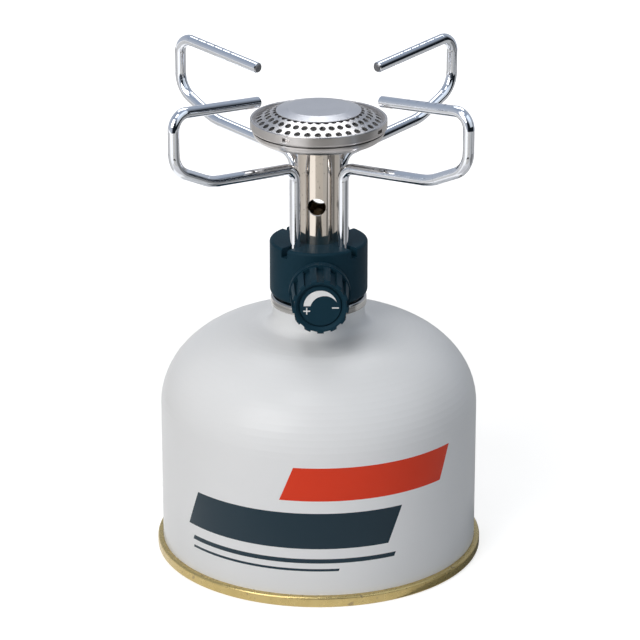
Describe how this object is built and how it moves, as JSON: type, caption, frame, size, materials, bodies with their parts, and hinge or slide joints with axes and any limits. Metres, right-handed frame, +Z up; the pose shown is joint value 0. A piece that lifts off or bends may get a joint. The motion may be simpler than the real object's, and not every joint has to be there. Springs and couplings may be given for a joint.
{
  "type": "backpacking stove on a gas canister",
  "caption": "Canister-top gas stove with a perforated burner, folding wire pot supports and a fluted control knob, screwed onto a domed gas canister.",
  "frame": {"origin": "centre of the canister's foot, on the ground", "axes": "+Z up, the control knob faces -Y, +X to the right of a person facing the knob"},
  "size_m": [0.1138, 0.1138, 0.173],
  "materials": {
    "white_lacquer": "semi-gloss white lacquer on steel",
    "gold_lacquer": "gold lacquer on steel",
    "tinplate": "bright tinplate",
    "rubber": "black rubber",
    "white_plastic": "white plastic",
    "spring_steel": "spring steel",
    "brass": "turned brass",
    "sintered_bronze": "sintered bronze",
    "teal_plastic": "dark teal moulded plastic",
    "steel": "turned steel",
    "white_print": "white print",
    "nickel": "bright nickel plate, turned",
    "stainless": "satin pressed stainless steel",
    "chrome_wire": "bright chrome plate on steel wire"
  },
  "bodies": {
    "canister": {"canister_shell": "white_lacquer", "canister_base": "gold_lacquer", "valve_cup": "tinplate", "cup_gasket": "rubber", "valve_gasket": "rubber", "valve_housing": "white_plastic", "valve_spring": "spring_steel"},
    "stem": {"valve_stem": "white_plastic"},
    "inlet_seal": {"inlet_seal": "rubber"},
    "stove": {"valve_core": "brass", "opening_pin": "brass", "inlet_filter": "sintered_bronze", "jet": "brass", "block": "teal_plastic", "gland": "brass", "leg_rings": "spring_steel", "burner_tube": "nickel", "burner_bowl": "stainless", "burner_gauze": "stainless", "burner_plate": "stainless", "centre_cap": "stainless"},
    "spindle_seal": {"spindle_seal": "rubber"},
    "knob": {"spindle": "steel", "knob": "teal_plastic", "knob_screw": "steel", "knob_cap": "teal_plastic", "knob_marks": "white_print"},
    "support_front_left": {"pot_support_front_left": "chrome_wire"},
    "support_front_right": {"pot_support_front_right": "chrome_wire"},
    "support_rear_left": {"pot_support_rear_left": "chrome_wire"},
    "support_rear_right": {"pot_support_rear_right": "chrome_wire"}
  },
  "joints": [
    {"name": "stove_lift", "type": "slide", "parent": "canister", "child": "inlet_seal", "axis": [0, 0, 1], "range_m": [0, 0.00453]},
    {"name": "stove_turn", "type": "hinge", "parent": "inlet_seal", "child": "stove", "pos_m": [0, 0, 0.0934], "axis": [0, 0, 1], "range_deg": [0, 1800]},
    {"name": "stem_lift", "type": "slide", "parent": "canister", "child": "stem", "axis": [0, 0, 1], "range_m": [0, 0.0015], "deforming": ["valve_spring"]},
    {"name": "spindle_out", "type": "slide", "parent": "stove", "child": "spindle_seal", "axis": [0, -1, 0], "range_m": [0, 0.0014]},
    {"name": "knob_turn", "type": "hinge", "parent": "spindle_seal", "child": "knob", "pos_m": [0, -0.0264, 0.1004], "axis": [0, -1, 0], "range_deg": [0, 720]},
    {"name": "front_left_swivel", "type": "hinge", "parent": "stove", "child": "support_front_left", "pos_m": [-0.0081, -0.0081, 0.1129], "axis": [0, 0, 1], "range_deg": [-45, 45]},
    {"name": "front_right_swivel", "type": "hinge", "parent": "stove", "child": "support_front_right", "pos_m": [0.0081, -0.0081, 0.1129], "axis": [0, 0, 1], "range_deg": [-45, 45]},
    {"name": "rear_left_swivel", "type": "hinge", "parent": "stove", "child": "support_rear_left", "pos_m": [-0.0081, 0.0081, 0.1129], "axis": [0, 0, 1], "range_deg": [-45, 45]},
    {"name": "rear_right_swivel", "type": "hinge", "parent": "stove", "child": "support_rear_right", "pos_m": [0.0081, 0.0081, 0.1129], "axis": [0, 0, 1], "range_deg": [-45, 45]}
  ],
  "couplings": [
    {"joint": "stove_turn", "follows": "stove_lift", "rad_per_m": 6926.3},
    {"joint": "stem_lift", "follows": "stove_lift", "ratio": 0.3296},
    {"joint": "knob_turn", "follows": "spindle_out", "rad_per_m": 8976}
  ]
}
